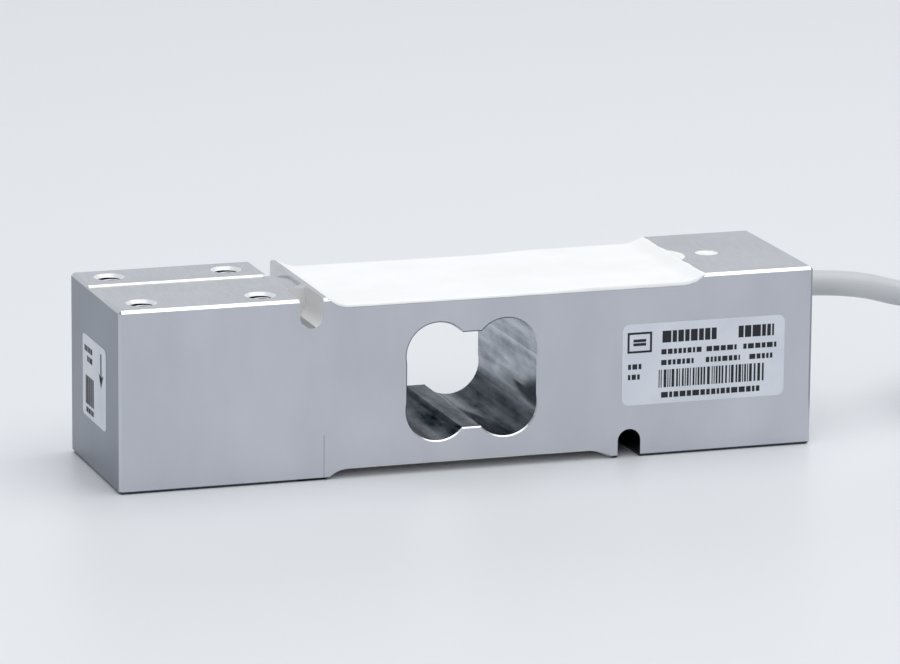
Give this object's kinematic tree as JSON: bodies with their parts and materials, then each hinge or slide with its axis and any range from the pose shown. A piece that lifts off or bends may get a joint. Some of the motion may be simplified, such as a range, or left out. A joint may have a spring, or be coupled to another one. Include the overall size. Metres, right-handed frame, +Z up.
{
  "type": "single point load cell",
  "caption": "Bar-shaped aluminium single point load cell with a four-lobed window, coated strain gauge recesses, threaded pads on opposite corners and a cable with a bare end.",
  "frame": {"origin": "middle of the bar's underside, on the surface that it stands on; the labels stand 0.12 mm proud of one side and one end", "axes": "+X along the bar towards the end that the cable leaves, +Z up, against the load, from the mounting pad's side to the load pad's side"},
  "size_m": [0.3497, 0.0506, 0.0381],
  "materials": {
    "machined_aluminium": "fine-milled, clear, satin",
    "white_silicone": "cast, glossy",
    "potting_compound": "cast, matt",
    "gauge_foil": "amber polyimide with etched foil",
    "circuit_board": "polyimide laminate",
    "ceramic_chip": "matt",
    "copper_wire": "enamelled copper",
    "conductor_insulation": "one colour each: white, black, red, blue",
    "tinned_copper": "tinned",
    "cable_jacket": "extruded light grey PVC",
    "seal_rubber": "cast",
    "screw_steel": "plain stainless steel",
    "label_film": "printed polyester film",
    "tie_nylon": "natural nylon",
    "heat_shrink": "shrunk polyolefin"
  },
  "bodies": {
    "root": {"measuring_body": "machined_aluminium", "upper_gauge_load_end": "gauge_foil", "upper_gauge_mount_end": "gauge_foil", "lower_gauge_load_end": "gauge_foil", "lower_gauge_mount_end": "gauge_foil", "terminal_board": "circuit_board", "terminal_strip": "circuit_board", "trim_resistors": "ceramic_chip", "upper_gauge_leads": "copper_wire", "lower_gauge_leads": "copper_wire", "link_wires": "copper_wire", "pocket_conductors": "conductor_insulation", "conductor_strands": "tinned_copper", "upper_coating": "white_silicone", "lower_coating": "white_silicone", "pocket_potting": "potting_compound", "clamp_screw_seal": "potting_compound", "clamped_cable_end": "cable_jacket", "cable_bore_seal": "seal_rubber", "clamp_screw": "screw_steel", "rating_label": "label_film", "load_direction_label": "label_film", "cable_lead": "cable_jacket", "cable_hank": "cable_jacket", "cable_tail": "cable_jacket", "hank_tie_near": "tie_nylon", "hank_tie_far": "tie_nylon", "jacket_end_sleeve": "heat_shrink", "free_conductors": "conductor_insulation", "conductor_ferrules": "tinned_copper", "shield_pigtail": "tinned_copper"}
  },
  "joints": []
}
